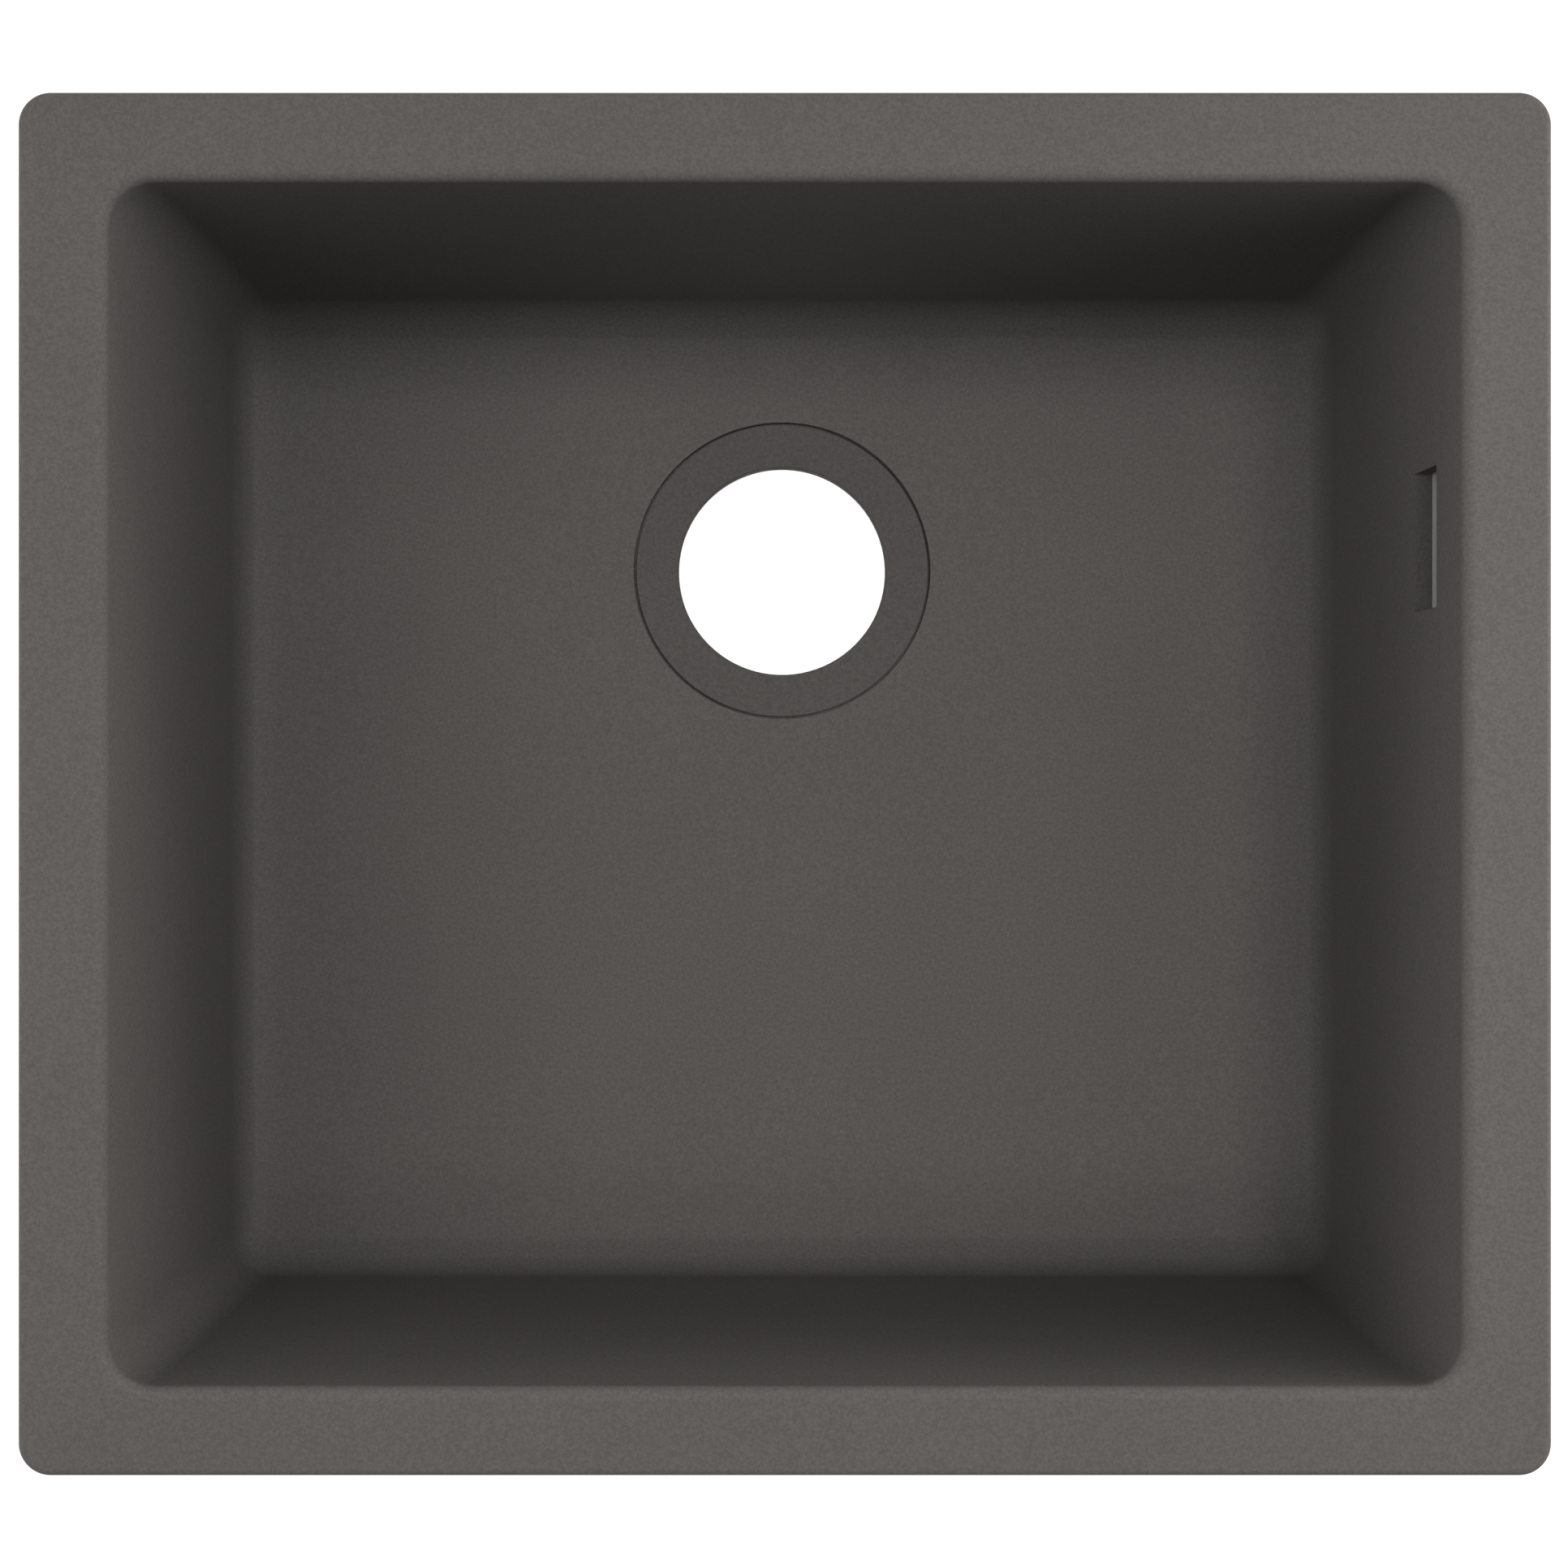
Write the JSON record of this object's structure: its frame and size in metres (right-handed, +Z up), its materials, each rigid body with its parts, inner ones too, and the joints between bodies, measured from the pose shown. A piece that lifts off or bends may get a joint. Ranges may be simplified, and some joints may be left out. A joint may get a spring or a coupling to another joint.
{
  "type": "undermount kitchen sink",
  "caption": "Rectangular stone-composite undermount kitchen sink with a flat flange, round drain hole, side overflow with its fitting, and swivel hangers.",
  "frame": {"origin": "on the plane of the bowl's underside, below the middle of the flange outline", "axes": "+X to the right, towards the overflow; +Y to the back, towards the drain; +Z up"},
  "size_m": [0.501, 0.452, 0.2],
  "materials": {
    "composite": "matt fine-grained moulded stone composite",
    "grey_plastic": "satin moulded light grey",
    "rubber": "matt foam rubber",
    "brass": "turned and knurled",
    "stainless_steel": "stamped and brushed",
    "spring_steel": "tempered grey",
    "zinc_plated_steel": "bright zinc plating"
  },
  "bodies": {
    "sink": {"bowl": "composite", "overflow_housing": "grey_plastic", "overflow_gasket": "rubber", "overflow_insert_back": "brass", "overflow_insert_front": "brass", "overflow_screw_back": "zinc_plated_steel", "overflow_screw_front": "zinc_plated_steel", "hanger_insert_right_back": "brass", "hanger_washer_right_back": "spring_steel", "hanger_screw_right_back": "zinc_plated_steel", "hanger_insert_right_front": "brass", "hanger_washer_right_front": "spring_steel", "hanger_screw_right_front": "zinc_plated_steel", "hanger_insert_back_left": "brass", "hanger_washer_back_left": "spring_steel", "hanger_screw_back_left": "zinc_plated_steel", "hanger_insert_back_right": "brass", "hanger_washer_back_right": "spring_steel", "hanger_screw_back_right": "zinc_plated_steel", "hanger_insert_left_front": "brass", "hanger_washer_left_front": "spring_steel", "hanger_screw_left_front": "zinc_plated_steel", "hanger_insert_left_back": "brass", "hanger_washer_left_back": "spring_steel", "hanger_screw_left_back": "zinc_plated_steel", "hanger_insert_front_right": "brass", "hanger_washer_front_right": "spring_steel", "hanger_screw_front_right": "zinc_plated_steel", "hanger_insert_front_left": "brass", "hanger_washer_front_left": "spring_steel", "hanger_screw_front_left": "zinc_plated_steel"},
    "arm_right_back": {"hanger_arm_right_back": "stainless_steel"},
    "arm_right_front": {"hanger_arm_right_front": "stainless_steel"},
    "arm_back_left": {"hanger_arm_back_left": "stainless_steel"},
    "arm_back_right": {"hanger_arm_back_right": "stainless_steel"},
    "arm_left_front": {"hanger_arm_left_front": "stainless_steel"},
    "arm_left_back": {"hanger_arm_left_back": "stainless_steel"},
    "arm_front_right": {"hanger_arm_front_right": "stainless_steel"},
    "arm_front_left": {"hanger_arm_front_left": "stainless_steel"}
  },
  "joints": [
    {"name": "swing_right_back", "type": "hinge", "parent": "sink", "child": "arm_right_back", "pos_m": [0.2411, 0.176, 0.1832], "axis": [0, 0, 1], "range_deg": [0, 180]},
    {"name": "swing_right_front", "type": "hinge", "parent": "sink", "child": "arm_right_front", "pos_m": [0.2411, -0.176, 0.1832], "axis": [0, 0, -1], "range_deg": [0, 180]},
    {"name": "swing_back_left", "type": "hinge", "parent": "sink", "child": "arm_back_left", "pos_m": [-0.2005, 0.2166, 0.1832], "axis": [0, 0, 1], "range_deg": [0, 180]},
    {"name": "swing_back_right", "type": "hinge", "parent": "sink", "child": "arm_back_right", "pos_m": [0.2005, 0.2166, 0.1832], "axis": [0, 0, -1], "range_deg": [0, 180]},
    {"name": "swing_left_front", "type": "hinge", "parent": "sink", "child": "arm_left_front", "pos_m": [-0.2411, -0.176, 0.1832], "axis": [0, 0, 1], "range_deg": [0, 180]},
    {"name": "swing_left_back", "type": "hinge", "parent": "sink", "child": "arm_left_back", "pos_m": [-0.2411, 0.176, 0.1832], "axis": [0, 0, -1], "range_deg": [0, 180]},
    {"name": "swing_front_right", "type": "hinge", "parent": "sink", "child": "arm_front_right", "pos_m": [0.2005, -0.2166, 0.1832], "axis": [0, 0, 1], "range_deg": [0, 180]},
    {"name": "swing_front_left", "type": "hinge", "parent": "sink", "child": "arm_front_left", "pos_m": [-0.2005, -0.2166, 0.1832], "axis": [0, 0, -1], "range_deg": [0, 180]}
  ]
}
